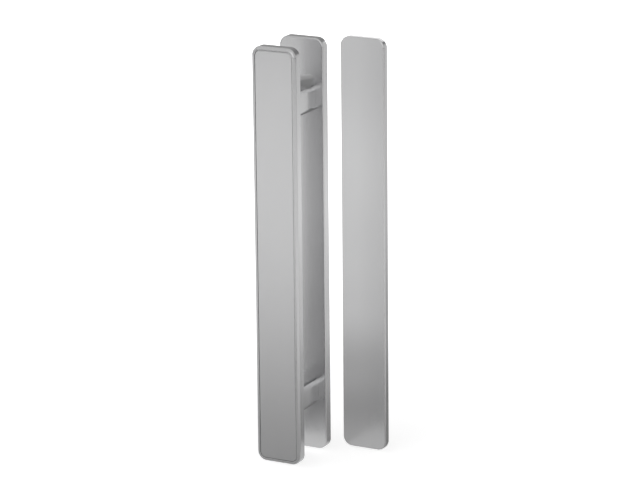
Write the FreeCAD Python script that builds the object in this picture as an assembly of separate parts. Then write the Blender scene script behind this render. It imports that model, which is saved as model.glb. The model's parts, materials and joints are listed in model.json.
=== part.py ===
import FreeCAD, Part
import math
import os

# Glass door pull handle. A flat grip plate stands off a base plate on two posts, and a loose
# counter plate for the other side of the glass stands beside it, finished face to the front.
# Frame: X to the right, Y from the hand towards the glass, Z up. The origin is the middle of
# the base gasket's glass side, so the glass fills Y = 0 to Y = glass_thickness.

# One outline serves all three plates.
plate_height = 350.0
plate_width = 40.0
corner_radius = 8.0
back_edge_chamfer = 0.5
front_edge_radius = 1.2

grip_thickness = 9.0
base_thickness = 8.0
counter_thickness = 6.0
finger_gap = 38.5
glass_thickness = 10.0
counter_gap = 6.0

# The grip plate is a tray: a rounded rim round an inlaid cover panel on adhesive tape.
rim_width = 3.0
rim_edge_radius = 2.5
rim_inner_chamfer = 0.2
panel_gap = 0.2
panel_thickness = 2.0
panel_edge_chamfer = 0.4
tape_thickness = 0.5
tape_inset = 1.0

# Posts: solid blocks with rounded long edges, one at each fixing point.
bolt_from_end = 50.0
post_width = 25.0
post_height = 22.0
post_edge_radius = 5.0

# Through bolts with flat heads, driven from under the cover panel.
bolt_diameter = 6.0
bolt_hole_diameter = 6.6
bolt_head_diameter = 12.0
bolt_head_sunk = 0.2
bolt_socket_width = 4.0
bolt_socket_depth = 2.5
bolt_tip_chamfer = 0.8

# Pins keep a post from turning on the plates: two at the grip end, which takes the twist of the
# hand, and one at the base end.
pin_diameter = 3.0
pin_depth_in_plate = 3.5
pin_depth_in_post = 6.0
pin_inset = 4.0
pin_fit = 0.05

# Soft gaskets lie in shallow seats in the two faces that meet the glass.
gasket_seat_depth = 0.5
gasket_proud = 0.5
gasket_seat_inset = 3.0
gasket_clearance = 0.2
gasket_hole_clearance = 1.0

# Plastic bushes keep the bolts off the edges of the holes in the glass.
bush_diameter = 9.0
bush_bore_diameter = 6.4
bush_end_clearance = 0.5

# Threaded inserts, pressed into the glass side of the counter plate.
insert_diameter = 9.0
insert_bore_diameter = 5.0
counter_skin = 1.3
thread_tip_clearance = 0.5
insert_fit = 0.05

# Places along Y, worked out from the sizes.
gasket_thickness = gasket_seat_depth + gasket_proud
base_back = -gasket_proud
base_front = base_back - base_thickness
grip_back = base_front - finger_gap
grip_front = grip_back - grip_thickness
panel_back = grip_front + panel_thickness
tray_floor = panel_back + tape_thickness
base_seat = base_back - gasket_seat_depth
counter_front = glass_thickness
counter_back = counter_front + counter_thickness
counter_seat = counter_back - gasket_seat_depth

# Places across and up.
counter_x = plate_width + counter_gap
pin_x = post_width / 2 - pin_inset
fixing_height = plate_height / 2 - bolt_from_end
fixing_z = {"upper": fixing_height, "lower": -fixing_height}
side_x = {"left": -pin_x, "right": pin_x}

# Lengths of the fixings, from what they pass through.
insert_length = counter_thickness - gasket_seat_depth - counter_skin
bolt_head_top = tray_floor + bolt_head_sunk
bolt_tip = glass_thickness + gasket_thickness + insert_length - thread_tip_clearance
bush_end = glass_thickness - bush_end_clearance

# A cutting tool runs this far past the face it opens.
past = 1.0
same = 0.001


def vec(x, y, z):
    return FreeCAD.Vector(x, y, z)


def rounded_block(width, height, radius, y_start, y_end, x=0.0, z=0.0):
    """A block along Y whose outline is a rectangle with round corners."""
    dx = width / 2
    dz = height / 2
    corners = []
    for sx, sz, start in ((1, 1, 0), (-1, 1, 90), (-1, -1, 180), (1, -1, 270)):
        centre = vec(x + sx * (dx - radius), y_start, z + sz * (dz - radius))
        points = []
        for turn in (0, 45, 90):
            angle = math.radians(start + turn)
            points.append(centre + vec(radius * math.cos(angle), 0, radius * math.sin(angle)))
        corners.append(points)
    edges = []
    for i, points in enumerate(corners):
        edges.append(Part.Arc(*points).toShape())
        edges.append(Part.LineSegment(points[2], corners[(i + 1) % 4][0]).toShape())
    outline = Part.Wire(edges)
    return Part.Face(outline).extrude(vec(0, y_end - y_start, 0))


def rod(diameter, y_start, y_end, x=0.0, z=0.0):
    """A round bar along Y."""
    length = y_end - y_start
    return Part.makeCylinder(diameter / 2, length, vec(x, y_start, z), vec(0, 1, 0))


def turned(profile, x, z):
    """A solid turned about a line along Y. The profile is a list of (radius, y) points."""
    points = [vec(r, y, 0) for r, y in profile]
    face = Part.Face(Part.makePolygon(points + points[:1]))
    solid = face.revolve(vec(0, 0, 0), vec(0, 1, 0), 360)
    solid.translate(vec(x, 0, z))
    return solid


def hex_bar(across_flats, y_start, y_end, x, z):
    """A hexagonal bar along Y, for the sockets in the bolt heads."""
    radius = across_flats / math.sqrt(3)
    points = []
    for i in range(6):
        angle = math.radians(60 * i)
        points.append(vec(x + radius * math.cos(angle), y_start, z + radius * math.sin(angle)))
    face = Part.Face(Part.makePolygon(points + points[:1]))
    return face.extrude(vec(0, y_end - y_start, 0))


def edges_in_plane(shape, y, x_reach=None):
    """Edges that lie in the plane Y = y, and within x_reach of the middle if that is given."""
    found = []
    for edge in shape.Edges:
        box = edge.BoundBox
        if abs(box.YMin - y) > same or abs(box.YMax - y) > same:
            continue
        if x_reach is not None and max(abs(box.XMin), abs(box.XMax)) > x_reach + same:
            continue
        found.append(edge)
    return found


def bolt_seat(z):
    """The cut that a bolt's flat head and shank need, from the tray's floor through the plate."""
    head = bolt_head_diameter / 2
    hole = bolt_hole_diameter / 2
    profile = [(0, tray_floor - past), (head, tray_floor - past), (head, bolt_head_top),
               (hole, bolt_head_top + head - hole), (hole, grip_back + past),
               (0, grip_back + past)]
    return turned(profile, 0, z)


def plate(thickness_start, thickness_end, front_radius, x=0.0):
    """The common plate: round corners, a rounded front edge and a narrow chamfer at the back."""
    body = rounded_block(plate_width, plate_height, corner_radius, thickness_start,
                         thickness_end, x)
    body = body.makeFillet(front_radius, edges_in_plane(body, thickness_start))
    return body.makeChamfer(back_edge_chamfer, edges_in_plane(body, thickness_end))


def inset_block(inset, y_start, y_end, x=0.0):
    """A block with the plate's outline, smaller by an inset all round."""
    return rounded_block(plate_width - 2 * inset, plate_height - 2 * inset,
                         corner_radius - inset, y_start, y_end, x)


def pin_hole(joint, into_plate, x, z):
    """The hole for one pin, on both sides of a joint. into_plate is the way to the plate."""
    ends = sorted((joint + into_plate * pin_depth_in_plate, joint - into_plate * pin_depth_in_post))
    return rod(pin_diameter + 2 * pin_fit, ends[0], ends[1], x, z)


def pin(joint, into_plate, x, z):
    ends = sorted((joint + into_plate * pin_depth_in_plate, joint - into_plate * pin_depth_in_post))
    return rod(pin_diameter, ends[0], ends[1], x, z)


def grip_plate():
    body = plate(grip_front, grip_back, rim_edge_radius)
    body = body.cut(inset_block(rim_width, grip_front - past, tray_floor))
    mouth = edges_in_plane(body, grip_front, plate_width / 2 - rim_width)
    body = body.makeChamfer(rim_inner_chamfer, mouth)
    for z in fixing_z.values():
        body = body.cut(bolt_seat(z))
        for x in side_x.values():
            body = body.cut(pin_hole(grip_back, -1, x, z))
    return body


def grip_panel():
    body = inset_block(rim_width + panel_gap, grip_front, panel_back)
    return body.makeChamfer(panel_edge_chamfer, edges_in_plane(body, grip_front))


def panel_tape():
    """The tape goes on last, so it runs over the sunk bolt heads."""
    return inset_block(rim_width + tape_inset, panel_back, tray_floor)


def post(z):
    body = rounded_block(post_width, post_height, post_edge_radius, grip_back, base_front, 0, z)
    body = body.cut(rod(bolt_hole_diameter, grip_back - past, base_front + past, 0, z))
    for x in side_x.values():
        body = body.cut(pin_hole(grip_back, -1, x, z))
    return body.cut(pin_hole(base_front, 1, pin_x, z))


def through_bolt(z):
    head = bolt_head_diameter / 2
    shank = bolt_diameter / 2
    profile = [(0, bolt_head_top), (head, bolt_head_top), (shank, bolt_head_top + head - shank),
               (shank, bolt_tip - bolt_tip_chamfer), (shank - bolt_tip_chamfer, bolt_tip),
               (0, bolt_tip)]
    socket = hex_bar(bolt_socket_width, bolt_head_top - past, bolt_head_top + bolt_socket_depth,
                     0, z)
    return turned(profile, 0, z).cut(socket)


def base_plate():
    body = plate(base_front, base_back, front_edge_radius)
    body = body.cut(inset_block(gasket_seat_inset, base_seat, base_back + past))
    for z in fixing_z.values():
        body = body.cut(rod(bolt_hole_diameter, base_front - past, base_back + past, 0, z))
        body = body.cut(pin_hole(base_front, 1, pin_x, z))
    return body


def gasket(seat, face, hole_diameter, x=0.0):
    body = inset_block(gasket_seat_inset + gasket_clearance, seat, face, x)
    for z in fixing_z.values():
        body = body.cut(rod(hole_diameter + 2 * gasket_hole_clearance, seat - past, face + past, x, z))
    return body


def glass_bush(z):
    body = rod(bush_diameter, base_seat, bush_end, 0, z)
    return body.cut(rod(bush_bore_diameter, base_seat - past, bush_end + past, 0, z))


def counter_plate():
    body = plate(counter_front, counter_back, front_edge_radius, counter_x)
    body = body.cut(inset_block(gasket_seat_inset, counter_seat, counter_back + past, counter_x))
    for z in fixing_z.values():
        body = body.cut(rod(insert_diameter + 2 * insert_fit, counter_seat - insert_length,
                            counter_back + past, counter_x, z))
    return body


def threaded_insert(z):
    body = rod(insert_diameter, counter_seat - insert_length, counter_seat, counter_x, z)
    return body.cut(rod(insert_bore_diameter, counter_seat - insert_length - past,
                        counter_seat + past, counter_x, z))


def all_parts():
    parts = {
        "grip_plate": grip_plate(),
        "grip_panel": grip_panel(),
        "panel_tape": panel_tape(),
        "base_plate": base_plate(),
        "base_gasket": gasket(base_seat, 0.0, bush_diameter),
        "counter_plate": counter_plate(),
        "counter_gasket": gasket(counter_seat, counter_back + gasket_proud,
                                 insert_diameter, counter_x),
    }
    for level, z in fixing_z.items():
        parts[level + "_post"] = post(z)
        parts[level + "_through_bolt"] = through_bolt(z)
        parts[level + "_glass_bush"] = glass_bush(z)
        parts[level + "_threaded_insert"] = threaded_insert(z)
        for side, x in side_x.items():
            parts[level + "_" + side + "_grip_pin"] = pin(grip_back, -1, x, z)
        parts[level + "_base_pin"] = pin(base_front, 1, pin_x, z)
    return parts


os.makedirs("parts", exist_ok=True)
for name, shape in all_parts().items():
    solid = shape.Solids[0]
    solid.exportStep(os.path.join("parts", name + ".step"))
    print(name, "solids", len(shape.Solids), "valid", solid.isValid(),
          "volume", round(solid.Volume, 1))
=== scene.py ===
import json
import math

import bmesh
import bpy
from mathutils import Matrix, Vector


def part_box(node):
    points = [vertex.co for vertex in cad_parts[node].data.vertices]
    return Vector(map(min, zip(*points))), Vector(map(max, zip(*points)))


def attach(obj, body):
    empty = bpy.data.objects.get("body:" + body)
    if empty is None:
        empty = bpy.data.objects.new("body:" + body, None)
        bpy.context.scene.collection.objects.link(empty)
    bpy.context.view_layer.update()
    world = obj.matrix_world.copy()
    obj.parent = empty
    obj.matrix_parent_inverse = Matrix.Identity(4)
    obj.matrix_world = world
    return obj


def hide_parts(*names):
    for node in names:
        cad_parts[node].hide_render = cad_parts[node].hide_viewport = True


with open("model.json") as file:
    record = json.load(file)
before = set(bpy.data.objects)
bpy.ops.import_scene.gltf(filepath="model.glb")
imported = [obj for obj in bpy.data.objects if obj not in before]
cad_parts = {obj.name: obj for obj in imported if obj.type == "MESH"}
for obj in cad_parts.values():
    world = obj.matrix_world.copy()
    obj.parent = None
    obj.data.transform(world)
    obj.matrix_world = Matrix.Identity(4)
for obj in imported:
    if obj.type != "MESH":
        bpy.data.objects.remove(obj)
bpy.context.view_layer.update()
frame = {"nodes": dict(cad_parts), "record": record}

# Glass door pull handle: a grip plate with an inlaid panel stands off a base plate on two posts,
# and the counter plate for the far side of the glass stands beside it. Lengths are in metres.
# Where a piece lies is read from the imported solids, and the sizes below are the ones that a
# box doesn't give.
mm = 0.001
close = 0.01 * mm

corner_radius = 8.0 * mm
back_edge_chamfer = 0.5 * mm
front_edge_radius = 1.2 * mm
rim_width = 3.0 * mm
rim_edge_radius = 2.5 * mm
rim_inner_round = 0.25 * mm
panel_edge_round = 0.3 * mm
panel_edge_slope = 1.1 * mm
panel_edge_drop = 0.25 * mm
panel_gap = 0.2 * mm
post_edge_radius = 5.0 * mm

bolt_hole_radius = 3.3 * mm
bolt_head_radius = 6.0 * mm
bolt_socket_width = 4.0 * mm
bolt_socket_depth = 2.5 * mm
bolt_tip_chamfer = 0.8 * mm
thread_radius = 3.0 * mm
thread_pitch = 1.0 * mm
thread_depth = 0.6 * mm
thread_length = 24.0 * mm
thread_steps = 36

pin_hole_radius = 1.55 * mm
gasket_seat_inset = 3.0 * mm
gasket_seat_depth = 0.5 * mm
gasket_hole_radius = 5.5 * mm
gasket_corner_radius = 4.8 * mm
gasket_edge_round = 0.15 * mm
bush_bore_radius = 3.2 * mm
bush_edge_round = 0.4 * mm
insert_bore_radius = 2.5 * mm
insert_mouth_chamfer = 0.5 * mm
insert_hole_radius = 4.55 * mm

corner_segments = 24
edge_segments = 8
fine_segments = 4
round_segments = 96
past = 1.0 * mm
levels = ("upper", "lower")
sides = ("left", "right")


class NodeBox:
    """Lowest corner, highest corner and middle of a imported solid."""

    def __init__(self, node):
        self.low, self.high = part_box(node)
        self.middle = (self.low + self.high) / 2


grip_low, grip_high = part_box("grip_plate")
panel_low, panel_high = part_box("grip_panel")
tape_high = NodeBox("panel_tape").high
base_low, base_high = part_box("base_plate")
counter_low, counter_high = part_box("counter_plate")


# Modelling helpers


def start_piece(name):
    """Names the new primitive and puts its place, turn and scale into its mesh."""
    piece = bpy.context.object
    piece.name = name
    piece.data.name = name
    bpy.ops.object.transform_apply(location=True, rotation=True, scale=True)
    return piece


def only(piece):
    """Makes a piece the one selected and active object."""
    bpy.ops.object.select_all(action="DESELECT")
    piece.select_set(True)
    bpy.context.view_layer.objects.active = piece


def block(name, low, high):
    bpy.ops.object.select_all(action="DESELECT")
    middle = (Vector(low) + Vector(high)) / 2
    size = Vector(high) - Vector(low)
    bpy.ops.mesh.primitive_cube_add(size=1, location=middle, scale=size)
    return start_piece(name)


def rod(name, radius, y_start, y_end, x, z, vertices=round_segments):
    """A round bar along Y."""
    bpy.ops.object.select_all(action="DESELECT")
    bpy.ops.mesh.primitive_cylinder_add(
        vertices=vertices, radius=radius, depth=y_end - y_start,
        location=(x, (y_start + y_end) / 2, z), rotation=(math.pi / 2, 0, 0))
    return start_piece(name)


def pick_edges(piece, test):
    """In edit mode, selects the edges that pass a test and nothing else."""
    bpy.ops.mesh.select_mode(type="EDGE")
    bpy.ops.mesh.select_all(action="DESELECT")
    mesh = bmesh.from_edit_mesh(piece.data)
    for edge in mesh.edges:
        if test(edge):
            edge.select_set(True)
    bmesh.update_edit_mesh(piece.data)


def pick_faces(piece, test):
    """In edit mode, selects the faces that pass a test and nothing else."""
    bpy.ops.mesh.select_mode(type="FACE")
    bpy.ops.mesh.select_all(action="DESELECT")
    mesh = bmesh.from_edit_mesh(piece.data)
    mesh.normal_update()
    for face in mesh.faces:
        if test(face):
            face.select_set(True)
    bmesh.update_edit_mesh(piece.data)


def along_y(edge):
    """Whether an edge runs straight along Y."""
    run = edge.verts[1].co - edge.verts[0].co
    return abs(run.x) < close and abs(run.z) < close


def edge_at(y):
    """A test for edges that lie in the plane at y."""
    def test(edge):
        return all(abs(vert.co.y - y) < close for vert in edge.verts)
    return test


def face_at(y):
    """A test for faces that lie in the plane at y."""
    def test(face):
        return all(abs(vert.co.y - y) < close for vert in face.verts)
    return test


def round_edges(radius, segments):
    bpy.ops.mesh.bevel(offset=radius, offset_type="OFFSET", segments=segments, profile=0.5,
                       affect="EDGES", clamp_overlap=False)


def sink_face(inset, depth):
    """Insets the selected face and pushes the new one along Y."""
    bpy.ops.mesh.inset(thickness=inset, depth=0)
    bpy.ops.mesh.extrude_region_move(TRANSFORM_OT_translate={"value": (0, depth, 0)})


def edit(piece):
    only(piece)
    bpy.ops.object.mode_set(mode="EDIT")


def leave_edit():
    bpy.ops.mesh.select_all(action="SELECT")
    bpy.ops.mesh.normals_make_consistent(inside=False)
    bpy.ops.object.mode_set(mode="OBJECT")


def combine(piece, tool, operation):
    """Cuts, joins or keeps what a piece has in common with a tool, which is then deleted."""
    only(piece)
    step = piece.modifiers.new("combine", "BOOLEAN")
    step.operation = operation
    step.solver = "EXACT"
    step.object = tool
    bpy.ops.object.modifier_apply(modifier=step.name)
    bpy.data.objects.remove(tool, do_unlink=True)


def turned(name, profile, x, z):
    """A solid turned about a line along Y: a disc drawn out through (radius, y) points."""
    bpy.ops.object.select_all(action="DESELECT")
    radius, y = profile[0]
    bpy.ops.mesh.primitive_circle_add(vertices=round_segments, radius=radius, fill_type="NGON",
                                      location=(x, y, z), rotation=(math.pi / 2, 0, 0))
    piece = start_piece(name)
    edit(piece)
    bpy.ops.mesh.select_all(action="SELECT")
    for next_radius, next_y in profile[1:]:
        bpy.ops.mesh.extrude_region_move(TRANSFORM_OT_translate={"value": (0, next_y - y, 0)})
        share = next_radius / radius
        bpy.ops.transform.resize(value=(share, 1, share), center_override=(x, next_y, z))
        radius, y = next_radius, next_y
    leave_edit()
    return piece


def finish_piece(piece, slot, node, smooth_angle=40):
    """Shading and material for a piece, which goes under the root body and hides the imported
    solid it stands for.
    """
    only(piece)
    bpy.ops.object.shade_smooth_by_angle(angle=math.radians(smooth_angle))
    step = piece.modifiers.new("even faces", "WEIGHTED_NORMAL")
    step.keep_sharp = True
    step.weight = 100
    bpy.ops.object.modifier_apply(modifier=step.name)
    piece.data.materials.clear()
    piece.data.materials.append(materials[slot])
    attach(piece, "root")
    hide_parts(node)


# Materials


# A noise keeps mostly to this middle range.
noise_low = 0.3
noise_high = 0.7

# The satin finish: fine marks along the grain, wide faint clouds, and how far tone and gloss vary.
grain_width = 0.18 * mm
grain_length = 14.0 * mm
grain_height = 0.0006 * mm
grain_share = 0.7
cloud_width = 22.0 * mm
cloud_length = 60.0 * mm
satin_dark = 0.975
satin_light = 1.02
gloss_spread = 0.03
plate_tone = (0.66, 0.66, 0.665)
panel_tone = (0.67, 0.67, 0.675)
plate_roughness = 0.24
post_roughness = 0.22


def shader_nodes(name):
    """A new material with a helper that adds a node and one that links two sockets."""
    material = bpy.data.materials.new(name)
    material.use_nodes = True
    tree = material.node_tree
    shader = tree.nodes["Principled BSDF"]

    def add(kind, **values):
        node = tree.nodes.new(kind)
        for key, value in values.items():
            if key in node.inputs:
                node.inputs[key].default_value = value
            else:
                setattr(node, key, value)
        return node
    return material, shader, add, tree.links.new


def grain(add, link, across, along, run_axis, detail=3.0):
    """A noise drawn out along one axis. across and along are the size of a mark in metres."""
    place = add("ShaderNodeTexCoord")
    scale = [1 / across, 1 / across, 1 / across]
    scale["XYZ".index(run_axis)] = 1 / along
    mapping = add("ShaderNodeMapping")
    mapping.inputs["Scale"].default_value = scale
    noise = add("ShaderNodeTexNoise", Scale=1.0, Detail=detail, Roughness=0.55)
    link(place.outputs["Object"], mapping.inputs["Vector"])
    link(mapping.outputs["Vector"], noise.inputs["Vector"])
    return noise.outputs["Fac"]


def ranged(add, link, value, low, high):
    """Spreads a noise's middle range over low to high."""
    node = add("ShaderNodeMapRange")
    node.inputs["From Min"].default_value = noise_low
    node.inputs["From Max"].default_value = noise_high
    node.inputs["To Min"].default_value = low
    node.inputs["To Max"].default_value = high
    link(value, node.inputs["Value"])
    return node.outputs["Result"]


def toned(add, link, value, dark, light):
    """A colour that goes from dark to light with a noise."""
    ramp = add("ShaderNodeValToRGB")
    ramp.color_ramp.elements[0].position = noise_low
    ramp.color_ramp.elements[0].color = (*dark, 1)
    ramp.color_ramp.elements[1].position = noise_high
    ramp.color_ramp.elements[1].color = (*light, 1)
    link(value, ramp.inputs["Fac"])
    return ramp.outputs["Color"]


def bumped(add, link, value, height, shader):
    bump = add("ShaderNodeBump", Strength=1.0, Distance=height)
    link(value, bump.inputs["Height"])
    link(bump.outputs["Normal"], shader.inputs["Normal"])


def satin_metal(name, tone, roughness, run_axis):
    """Satin metal with a very fine grain along one axis and faint clouds in its gloss."""
    material, shader, add, link = shader_nodes(name)
    shader.inputs["Metallic"].default_value = 1.0
    fine = grain(add, link, grain_width, grain_length, run_axis)
    cloud = grain(add, link, cloud_width, cloud_length, run_axis, detail=2.0)
    dark = [part * satin_dark for part in tone]
    light = [part * satin_light for part in tone]
    mix = add("ShaderNodeMath", operation="MULTIPLY_ADD")
    mix.inputs[1].default_value = grain_share
    link(fine, mix.inputs[0])
    soft = add("ShaderNodeMath", operation="MULTIPLY")
    soft.inputs[1].default_value = 1 - grain_share
    link(cloud, soft.inputs[0])
    link(soft.outputs[0], mix.inputs[2])
    both = mix.outputs[0]
    link(toned(add, link, both, dark, light), shader.inputs["Base Color"])
    rough = ranged(add, link, both, roughness - gloss_spread, roughness + gloss_spread)
    link(rough, shader.inputs["Roughness"])
    bumped(add, link, fine, grain_height, shader)
    return material


def plain_surface(name, dark, light, metallic, rough, mark, height):
    """A surface with an even speckle: rubber, plastic, tape, brass or steel."""
    material, shader, add, link = shader_nodes(name)
    shader.inputs["Metallic"].default_value = metallic
    speckle = grain(add, link, mark, mark, "Z")
    link(toned(add, link, speckle, dark, light), shader.inputs["Base Color"])
    link(ranged(add, link, speckle, *rough), shader.inputs["Roughness"])
    bumped(add, link, speckle, height, shader)
    return material


materials = {
    "satin_metal": satin_metal("satin_metal", plate_tone, plate_roughness, "Z"),
    "satin_panel": satin_metal("satin_panel", panel_tone, plate_roughness, "Z"),
    "post_metal": satin_metal("post_metal", plate_tone, post_roughness, "Y"),
    "bolt_steel": plain_surface(
        "bolt_steel", dark=(0.5, 0.5, 0.5), light=(0.6, 0.6, 0.6), metallic=1.0,
        rough=(0.25, 0.4), mark=0.4 * mm, height=0.004 * mm),
    "gasket_rubber": plain_surface(
        "gasket_rubber", dark=(0.03, 0.03, 0.03), light=(0.05, 0.05, 0.05), metallic=0.0,
        rough=(0.6, 0.8), mark=0.35 * mm, height=0.03 * mm),
    "bush_plastic": plain_surface(
        "bush_plastic", dark=(0.76, 0.76, 0.73), light=(0.82, 0.82, 0.79), metallic=0.0,
        rough=(0.4, 0.55), mark=0.8 * mm, height=0.008 * mm),
    "insert_brass": plain_surface(
        "insert_brass", dark=(0.72, 0.53, 0.25), light=(0.8, 0.61, 0.31), metallic=1.0,
        rough=(0.22, 0.36), mark=0.5 * mm, height=0.004 * mm),
    "panel_tape": plain_surface(
        "panel_tape", dark=(0.78, 0.78, 0.75), light=(0.86, 0.86, 0.83), metallic=0.0,
        rough=(0.8, 0.95), mark=0.25 * mm, height=0.02 * mm),
}


# Plates


def plate_body(name, low, high, front_radius):
    """A plate with round corners, a rounded front edge and a narrow chamfer at the back."""
    piece = block(name, low, high)
    edit(piece)
    pick_edges(piece, along_y)
    round_edges(corner_radius, corner_segments)
    pick_edges(piece, edge_at(low.y))
    round_edges(front_radius, edge_segments)
    pick_edges(piece, edge_at(high.y))
    round_edges(back_edge_chamfer, segments=1)
    return piece


def gasket_seat(piece, back):
    """The shallow seat for a gasket in the glass side of a plate."""
    pick_faces(piece, face_at(back))
    sink_face(gasket_seat_inset - back_edge_chamfer, -gasket_seat_depth)


def bolt_centre(level):
    return NodeBox(level + "_post").middle.z


def cut_rod(piece, radius, y_start, y_end, x, z):
    combine(piece, rod("drill", radius, y_start, y_end, x, z), "DIFFERENCE")


def grip_plate():
    """The tray: rim, floor, bolt seats in the floor and pin holes in the back."""
    piece = plate_body("grip_tray", grip_low, grip_high, rim_edge_radius)
    pick_faces(piece, face_at(grip_low.y))
    sink_face(rim_width - rim_edge_radius, tape_high.y - grip_low.y)
    inner = grip_high.x - rim_width

    def mouth(edge):
        return edge_at(grip_low.y)(edge) and all(abs(vert.co.x) < inner + close
                                                 for vert in edge.verts)
    pick_edges(piece, mouth)
    round_edges(rim_inner_round, fine_segments)
    leave_edit()
    for level in levels:
        z = bolt_centre(level)
        head_top = NodeBox(level + "_through_bolt").low.y
        cone_end = head_top + bolt_head_radius - bolt_hole_radius
        seat = turned("seat", [(bolt_head_radius, tape_high.y - past),
                               (bolt_head_radius, head_top), (bolt_hole_radius, cone_end),
                               (bolt_hole_radius, grip_high.y + past)], 0, z)
        combine(piece, seat, "DIFFERENCE")
        for side in sides:
            pin = NodeBox(level + "_" + side + "_grip_pin")
            cut_rod(piece, pin_hole_radius, pin.low.y, grip_high.y + past, pin.middle.x,
                    pin.middle.z)
    finish_piece(piece, "satin_metal", "grip_plate")


def grip_panel():
    """The inlaid panel: flat, with a shallow slope down to its edge all round."""
    slope_foot = panel_low.y + panel_edge_drop
    piece = block("grip_face_panel", (panel_low.x, slope_foot, panel_low.z), panel_high)
    edit(piece)
    pick_edges(piece, along_y)
    round_edges(corner_radius - rim_width - panel_gap, corner_segments)
    pick_faces(piece, face_at(slope_foot))
    bpy.ops.mesh.inset(thickness=panel_edge_slope, depth=0)
    bpy.ops.transform.translate(value=(0, -panel_edge_drop, 0))
    pick_edges(piece, edge_at(slope_foot))
    round_edges(panel_edge_round, fine_segments)
    leave_edit()
    finish_piece(piece, "satin_panel", "grip_panel")


def base_plate():
    piece = plate_body("base_plate_body", base_low, base_high, front_edge_radius)
    gasket_seat(piece, base_high.y)
    leave_edit()
    for level in levels:
        cut_rod(piece, bolt_hole_radius, base_low.y - past, base_high.y + past, 0,
                bolt_centre(level))
        pin = NodeBox(level + "_base_pin")
        cut_rod(piece, pin_hole_radius, base_low.y - past, pin.high.y, pin.middle.x, pin.middle.z)
    finish_piece(piece, "satin_metal", "base_plate")


def counter_plate():
    piece = plate_body("counter_plate_body", counter_low, counter_high, front_edge_radius)
    gasket_seat(piece, counter_high.y)
    leave_edit()
    for level in levels:
        insert = NodeBox(level + "_threaded_insert")
        cut_rod(piece, insert_hole_radius, insert.low.y, counter_high.y + past, insert.middle.x,
                insert.middle.z)
    finish_piece(piece, "satin_metal", "counter_plate")


def gasket(node):
    """A rubber sheet with two round holes and soft edges."""
    sheet = NodeBox(node)
    piece = block(node + "_sheet", sheet.low, sheet.high)
    edit(piece)
    pick_edges(piece, along_y)
    round_edges(gasket_corner_radius, corner_segments)
    pick_edges(piece, edge_at(sheet.high.y))
    round_edges(gasket_edge_round, fine_segments)
    leave_edit()
    for level in levels:
        cut_rod(piece, gasket_hole_radius, sheet.low.y - past, sheet.high.y + past,
                sheet.middle.x, bolt_centre(level))
    finish_piece(piece, "gasket_rubber", node)


# Posts and fixings


def post(level):
    """A block with rounded long edges, drilled for the bolt and the pins."""
    node = level + "_post"
    box = NodeBox(node)
    front = box.low.y - past
    back = box.high.y + past
    piece = block(node + "_block", box.low, box.high)
    edit(piece)
    pick_edges(piece, along_y)
    round_edges(post_edge_radius, edge_segments)
    leave_edit()
    cut_rod(piece, bolt_hole_radius, front, back, box.middle.x, box.middle.z)
    for side in sides:
        pin = NodeBox(level + "_" + side + "_grip_pin")
        cut_rod(piece, pin_hole_radius, front, pin.high.y, pin.middle.x, pin.middle.z)
    pin = NodeBox(level + "_base_pin")
    cut_rod(piece, pin_hole_radius, pin.low.y, back, pin.middle.x, pin.middle.z)
    finish_piece(piece, "post_metal", node)


def threaded_rod(name, depth, y_start, y_end, x, z):
    """A bar with a cut thread: a V drawn along a helix and cut off square at both ends."""
    bpy.ops.object.select_all(action="DESELECT")
    # A triangle is one and a half times as deep as its centre is far from its corners.
    reach = depth / 1.5
    bpy.ops.mesh.primitive_circle_add(vertices=3, radius=reach, rotation=(0, 0, -math.pi / 2),
                                      location=(thread_radius - reach, 0, 0))
    piece = start_piece(name)
    edit(piece)
    bpy.ops.mesh.select_all(action="SELECT")
    bpy.ops.transform.resize(value=(1, thread_pitch / (math.sqrt(3) * reach), 1),
                             center_override=(0, 0, 0))
    pick_edges(piece, along_y)
    bpy.ops.mesh.delete(type="EDGE_FACE")
    bpy.ops.object.mode_set(mode="OBJECT")
    turn = piece.modifiers.new("turn", "SCREW")
    turn.axis = "Y"
    # One turn more at each end, which the cuts take off.
    turn.iterations = math.ceil((y_end - y_start) / thread_pitch) + 2
    turn.screw_offset = thread_pitch
    turn.steps = thread_steps
    turn.render_steps = thread_steps
    bpy.ops.object.modifier_apply(modifier=turn.name)
    edit(piece)
    bpy.ops.mesh.select_all(action="SELECT")
    bpy.ops.mesh.remove_doubles(threshold=close)
    bpy.ops.transform.translate(value=(x, y_start - thread_pitch, z))
    for y, outward in ((y_start, -1), (y_end, 1)):
        bpy.ops.mesh.select_all(action="SELECT")
        bpy.ops.mesh.bisect(plane_co=(x, y, z), plane_no=(0, outward, 0), use_fill=True,
                            clear_outer=True)
    leave_edit()
    return piece


def through_bolt(level):
    """Flat head, socket, plain shank and a cut thread at the far end."""
    node = level + "_through_bolt"
    box = NodeBox(node)
    head, tip = box.low.y, box.high.y
    x, z = box.middle.x, box.middle.z
    thread_start = tip - thread_length
    piece = threaded_rod(node + "_fixing", thread_depth, thread_start, tip, x, z)
    envelope = turned("envelope", [(thread_radius + past, thread_start - past),
                                   (thread_radius + past, tip - bolt_tip_chamfer - past),
                                   (thread_radius - bolt_tip_chamfer, tip)], x, z)
    combine(piece, envelope, "INTERSECT")
    shank = turned("shank", [(bolt_head_radius, head),
                             (thread_radius, head + bolt_head_radius - thread_radius),
                             (thread_radius, thread_start + thread_pitch)], x, z)
    combine(piece, shank, "UNION")
    socket = rod("socket", bolt_socket_width / math.sqrt(3), head - past,
                 head + bolt_socket_depth, x, z, vertices=6)
    combine(piece, socket, "DIFFERENCE")
    finish_piece(piece, "bolt_steel", node, smooth_angle=30)


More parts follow.
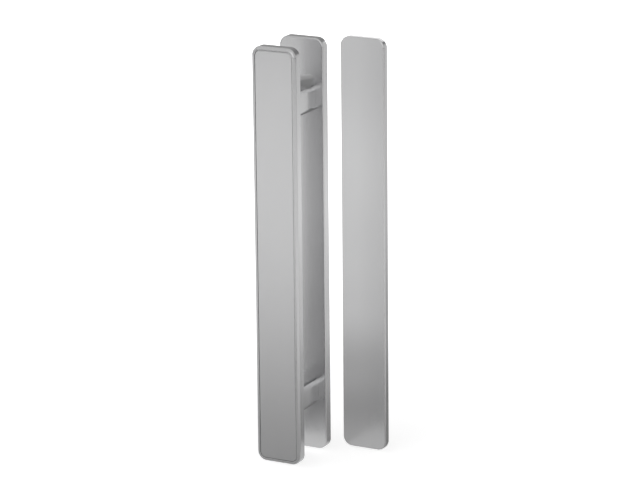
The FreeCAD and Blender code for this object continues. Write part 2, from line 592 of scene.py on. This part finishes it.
def glass_bush(level):
    node = level + "_glass_bush"
    box = NodeBox(node)
    front, back = box.low.y, box.high.y
    x, z = box.middle.x, box.middle.z
    piece = rod(node + "_sleeve", (box.high.x - box.low.x) / 2, front, back, x, z)
    cut_rod(piece, bush_bore_radius, front - past, back + past, x, z)
    edit(piece)
    pick_edges(piece, edge_at(back))
    round_edges(bush_edge_round, fine_segments)
    leave_edit()
    finish_piece(piece, "bush_plastic", node)


def threaded_insert(level):
    """A brass bush with a cut thread and a chamfered mouth."""
    node = level + "_threaded_insert"
    box = NodeBox(node)
    front, back = box.low.y, box.high.y
    x, z = box.middle.x, box.middle.z
    piece = rod(node + "_bush", (box.high.x - box.low.x) / 2, front, back, x, z)
    tap = threaded_rod("tap", thread_radius - insert_bore_radius, front - past, back + past, x, z)
    combine(piece, tap, "DIFFERENCE")
    mouth = turned("mouth", [(insert_bore_radius, back - insert_mouth_chamfer),
                             (thread_radius + insert_mouth_chamfer, back + close)], x, z)
    combine(piece, mouth, "DIFFERENCE")
    finish_piece(piece, "insert_brass", node, smooth_angle=30)


def dress_carried_nodes():
    """Pins and tape stay as packed, with a finish of their own."""
    for subpart in frame["record"]["subparts"]:
        node = frame["nodes"][subpart["node"]]
        if node.hide_render:
            continue
        node.data.materials.clear()
        node.data.materials.append(materials[subpart["material_slot"]])


grip_plate()
grip_panel()
base_plate()
counter_plate()
gasket("base_gasket")
gasket("counter_gasket")
for level in levels:
    post(level)
    through_bolt(level)
    glass_bush(level)
    threaded_insert(level)
dress_carried_nodes()


# Camera


view_target = (0.0399, -0.0542, 0.0120)
view_distance = 2.4927
view_azimuth = math.radians(28.0923)
view_elevation = math.radians(15.3066)
view_roll = math.radians(-0.5774)
lens_length = 174.0646
sensor_width = 36.0


def make_camera():
    data = bpy.data.cameras.new("camera")
    data.lens = lens_length
    data.sensor_width = sensor_width
    camera = bpy.data.objects.new("camera", data)
    bpy.context.scene.collection.objects.link(camera)
    turn = (Matrix.Rotation(view_azimuth, 4, "Z")
            @ Matrix.Rotation(math.pi / 2 - view_elevation, 4, "X")
            @ Matrix.Rotation(view_roll, 4, "Z"))
    back = turn.to_3x3() @ Vector((0, 0, 1))
    camera.matrix_world = Matrix.Translation(Vector(view_target) + view_distance * back) @ turn
    bpy.context.scene.camera = camera


# Studio


floor_level = base_low.z - 4.0 * mm
floor_size = 12.0
floor_tone = 0.8
floor_roughness = 0.9
# The floor is lifted towards white for the camera, less so near the object, to keep its shadow.
lift_near = 0.66
lift_far = 0.9
lift_start = 0.6
lift_end = 1.6
world_fill = 0.15

# Soft boxes that shine straight down: name, place, side and power.
soft_boxes = (
    ("front_left_soft_box", (-0.653, -1.238, 0.2), 1.8, 11.6),
    ("front_right_soft_box", (1.06, -0.56, 0.0), 1.6, 7.3),
    ("back_left_soft_box", (-1.09, 0.6, 0.0), 1.6, 8.4),
    ("back_soft_box", (-0.42, 1.36, 0.0), 1.6, 6.1),
    ("back_right_soft_box", (0.56, 1.06, 0.0), 1.6, 7.4),
)


def straight_ramp(add, link, value, stops):
    """Brightness along a line, between stops of place and brightness."""
    first, last = stops[0][0], stops[-1][0]
    spread = add("ShaderNodeMapRange")
    spread.inputs["From Min"].default_value = first
    spread.inputs["From Max"].default_value = last
    link(value, spread.inputs["Value"])
    ramp = add("ShaderNodeValToRGB")
    ramp.color_ramp.interpolation = "EASE"
    points = ramp.color_ramp.elements
    for i, (place, glow) in enumerate(stops):
        share = (place - first) / (last - first)
        if i in (0, len(stops) - 1):
            point = points[0] if i == 0 else points[-1]
            point.position = share
        else:
            point = points.new(share)
        point.color = (glow, glow, glow, 1)
    link(spread.outputs["Result"], ramp.inputs["Fac"])
    return ramp.outputs["Color"]


def make_floor():
    """A plain pale floor, lifted to white for the camera but for the object's shadow."""
    bpy.ops.object.select_all(action="DESELECT")
    bpy.ops.mesh.primitive_plane_add(size=floor_size, location=(0, 0, floor_level))
    floor = start_piece("floor")
    material, shader, add, link = shader_nodes("pale_floor")
    shader.inputs["Base Color"].default_value = (floor_tone, floor_tone, floor_tone, 1)
    shader.inputs["Roughness"].default_value = floor_roughness
    shader.inputs["Specular IOR Level"].default_value = 0.0
    shader.inputs["Emission Color"].default_value = (1, 1, 1, 1)
    place = add("ShaderNodeTexCoord")
    reach = add("ShaderNodeVectorMath", operation="LENGTH")
    link(place.outputs["Object"], reach.inputs[0])
    spread = add("ShaderNodeMapRange")
    spread.inputs["From Min"].default_value = lift_start
    spread.inputs["From Max"].default_value = lift_end
    spread.inputs["To Min"].default_value = lift_near
    spread.inputs["To Max"].default_value = lift_far
    link(reach.outputs["Value"], spread.inputs["Value"])
    path = add("ShaderNodeLightPath")
    lift = add("ShaderNodeMath", operation="MULTIPLY")
    link(path.outputs["Is Camera Ray"], lift.inputs[0])
    link(spread.outputs["Result"], lift.inputs[1])
    link(lift.outputs[0], shader.inputs["Emission Strength"])
    floor.data.materials.append(material)


def make_world():
    """White for the camera and for what mirrors or lets through, and a soft fill for the rest."""
    world = bpy.data.worlds.new("studio")
    world.use_nodes = True
    bpy.context.scene.world = world
    tree = world.node_tree
    background = tree.nodes["Background"]
    background.inputs["Color"].default_value = (1, 1, 1, 1)
    path = tree.nodes.new("ShaderNodeLightPath")
    camera_or_gloss = tree.nodes.new("ShaderNodeMath")
    camera_or_gloss.operation = "MAXIMUM"
    seen = tree.nodes.new("ShaderNodeMath")
    seen.operation = "MAXIMUM"
    strength = tree.nodes.new("ShaderNodeMapRange")
    strength.inputs["To Min"].default_value = world_fill
    strength.inputs["To Max"].default_value = 1.0
    link = tree.links.new
    link(path.outputs["Is Camera Ray"], camera_or_gloss.inputs[0])
    link(path.outputs["Is Glossy Ray"], camera_or_gloss.inputs[1])
    link(camera_or_gloss.outputs[0], seen.inputs[0])
    link(path.outputs["Is Transmission Ray"], seen.inputs[1])
    link(seen.outputs[0], strength.inputs["Value"])
    link(strength.outputs["Result"], background.inputs["Strength"])


def make_lamp(name, place, size, power):
    """A square soft box that shines straight down and isn't itself mirrored in the metal."""
    data = bpy.data.lights.new(name, "AREA")
    data.shape = "SQUARE"
    data.size = size
    data.energy = power
    lamp = bpy.data.objects.new(name, data)
    bpy.context.scene.collection.objects.link(lamp)
    lamp.location = place
    lamp.visible_camera = False
    lamp.visible_glossy = False


# Cards


# Satin metal shows what stands round it, so these cards set how bright each face is.
card_foot = floor_level + 1.0 * mm
card_top = base_high.z + 3.0 * mm
ground = floor_level + 0.3 * mm
thin_gap = 0.5 * mm
divider_x = (base_high.x + counter_low.x) / 2


def even(glow):
    """Stops for a card of one brightness."""
    return ((-1, glow), (1, glow))


def make_card(name, low, high, stops, slope=(0, 0, 1)):
    """A card on the stage that only the metal's reflections see, and only from its front.

    It faces right, front or up, and the other way where low and high are swapped on one axis.
    Each stop is a place along the slope and the card's brightness there.
    """
    bpy.ops.object.select_all(action="DESELECT")
    bpy.ops.mesh.primitive_plane_add(size=1, location=(0, 0, 0))
    card = start_piece(name)
    thin = min(range(3), key=lambda i: abs(high[i] - low[i]))
    wide, tall = [i for i in range(3) if i != thin]
    corners = ((0, 0), (1, 0), (0, 1), (1, 1))
    for vert, (a, b) in zip(card.data.vertices, corners):
        spot = list(low)
        spot[wide] = (low[wide], high[wide])[a]
        spot[tall] = (low[tall], high[tall])[b]
        vert.co = spot
    material, shader, add, link = shader_nodes(name)
    material.node_tree.nodes.remove(shader)
    place = add("ShaderNodeTexCoord")
    along = add("ShaderNodeVectorMath", operation="DOT_PRODUCT")
    along.inputs[1].default_value = slope
    link(place.outputs["Object"], along.inputs[0])
    glow = add("ShaderNodeEmission")
    link(straight_ramp(add, link, along.outputs["Value"], stops), glow.inputs["Color"])
    clear = add("ShaderNodeBsdfTransparent")
    side = add("ShaderNodeNewGeometry")
    either = add("ShaderNodeMixShader")
    link(side.outputs["Backfacing"], either.inputs[0])
    link(glow.outputs["Emission"], either.inputs[1])
    link(clear.outputs["BSDF"], either.inputs[2])
    output = material.node_tree.nodes["Material Output"]
    link(either.outputs["Shader"], output.inputs["Surface"])
    card.data.materials.append(material)
    card.visible_camera = False
    card.visible_diffuse = False
    card.visible_shadow = False
    card.visible_transmission = False


def make_floor_cards():
    """Pale cards under the pull and the loose plate, and a grey one in front of them."""
    near = grip_low.y + 1.0 * mm
    make_card("pull_foot_card", (base_low.x - 15.0 * mm, near, ground),
              (divider_x - thin_gap, counter_low.y + 2.0 * mm, ground), even(0.75))
    make_card("plate_foot_card", (divider_x + thin_gap, near, ground),
              (counter_high.x, counter_low.y - thin_gap, ground), even(0.58))
    make_card("front_floor_card", (-0.03, -1.0, ground), (0.06, -0.22, ground),
              ((0.22, 0.28), (0.4, 0.36), (0.6, 0.43), (0.8, 0.48), (1.0, 0.55)), (0, -1, 0))


def make_divider_cards():
    """Cards in a row between the pull and the loose plate, so that the plate mirrors no pull."""
    slope = (0, -0.297, 1)
    stops = ((-0.178, 0.46), (-0.147, 0.385), (-0.113, 0.485), (-0.056, 0.735), (-0.015, 0.79),
             (0.07, 0.85), (0.16, 0.75))
    top = 0.2
    names = ("divider_near_card", "divider_middle_card", "divider_far_card")
    parts = (1.01, 0.95, 0.88)
    ends = (counter_low.y - thin_gap, -0.036, -0.058, -0.16)
    for name, part, back, front in zip(names, parts, ends, ends[1:]):
        dimmed = [(place, part * glow) for place, glow in stops]
        make_card(name, (divider_x, front, card_foot), (divider_x, back, top), dimmed, slope)


def make_room_cards():
    """Grey walls and a ceiling, for the top faces and the rounded top edges."""
    wall = 2.2
    height = 2.4
    make_card("back_card", (-wall, wall, 0), (wall, wall, height),
              ((-0.7, 0.34), (0.8, 0.22)), (1, 0, 0))
    make_card("front_card", (wall, -wall, 0), (-wall, -wall, height),
              ((-2.2, 0.67), (-0.5, 0.69), (0.5, 1.05), (1.2, 1.1), (2.2, 0.7)), (1, 0, 0))
    make_card("left_card", (-wall, -wall, 0), (-wall, wall, height), even(0.66))
    make_card("right_card", (wall, wall, 0), (wall, -wall, height), even(0.58))
    make_card("ceiling_card", (wall, -wall, height), (-wall, wall, height), even(0.66))


def make_post_shade_cards():
    """Dark cards just off the base plate, below both posts and above the upper one, which the
    posts and the base plate mirror as painted shade.
    """
    y = base_low.y - 0.2 * mm
    left = -8.0 * mm
    # Below each post, a dark card that the post's lower rounded edge mirrors as a painted shade
    # strip.
    for level in levels:
        under = NodeBox(level + "_post").low.z
        make_card(level + "_shade_card", (left, y, under - 24.0 * mm),
                  (17.5 * mm, y, under + 2.0 * mm), even(0.2))
    # Above the upper post, the first is mirrored by the post and the second by the base plate,
    # both as painted shade.
    over = NodeBox("upper_post").high.z
    top = over + 8.5 * mm
    make_card("over_post_shade_card", (left, y, over), (13.5 * mm, y, top),
              ((over, 0.26), (over + 5.0 * mm, 0.27), (top, 0.38)))
    make_card("upper_patch_shade_card", (10.5 * mm, y, over), (left, y, top),
              ((over + 1.8 * mm, 0.28), (over + 4.8 * mm, 0.42), (over + 8.0 * mm, 0.62)),
              (-0.25, 0, 1))


def make_left_cards():
    """Cards left of the base plate, which it mirrors by way of the back of the grip plate."""
    meeting = -33.0 * mm
    make_card("left_screen_card", (-75.0 * mm, 0, card_foot), (meeting, 0, card_top),
              ((-0.178, 0.37), (-0.165, 0.38), (-0.127, 0.6), (-0.087, 0.62), (-0.047, 0.73),
               (0.011, 0.85), (0.053, 0.79), (0.09, 0.7), (0.104, 0.46), (0.114, 0.46),
               (0.126, 0.88), (0.178, 0.9)))
    make_card("left_edge_card", (meeting, 0, card_foot), (base_low.x - thin_gap, 0, card_top),
              ((-0.178, 0.31), (-0.165, 0.32), (-0.127, 0.52), (-0.087, 0.53), (-0.047, 0.6),
               (0.011, 0.71), (0.053, 0.68), (0.093, 0.62), (0.138, 0.74), (0.178, 0.76)))


def make_plate_cards():
    """Cards for the loose plate: behind its right edge, behind its top and before its face."""
    side_y = counter_high.y + 4.5 * mm
    side_top = counter_high.z - 2.0 * mm
    make_card("plate_side_card", (counter_high.x + thin_gap, side_y, card_foot),
              (counter_high.x + 14.0 * mm, side_y, side_top),
              ((-0.178, 0.25), (-0.134, 0.27), (-0.066, 0.46), (0.036, 0.65), (0.1, 0.68),
               (0.173, 0.66)))
    top_y = counter_high.y + 6.0 * mm
    make_card("plate_top_card", (counter_low.x - 8.0 * mm, top_y, counter_high.z - 0.5 * mm),
              (counter_high.x, top_y, counter_high.z + 8.0 * mm), even(1.1))
    # The one before its face is turned to the pull, so that the pull mirrors no loose plate.
    face_y = counter_low.y - thin_gap
    make_card("screen_card", (divider_x + 1.5 * mm, face_y, card_foot),
              (counter_high.x + 2.0 * mm, face_y, card_top),
              ((-0.178, 0.30), (-0.155, 0.33), (-0.115, 0.5), (-0.065, 0.71), (0.037, 0.93),
               (0.153, 0.68)))


make_camera()
make_world()
make_floor()
for soft_box in soft_boxes:
    make_lamp(*soft_box)
make_floor_cards()
make_divider_cards()
make_room_cards()
make_post_shade_cards()
make_left_cards()
make_plate_cards()

bpy.context.scene.view_settings.view_transform = "Standard"
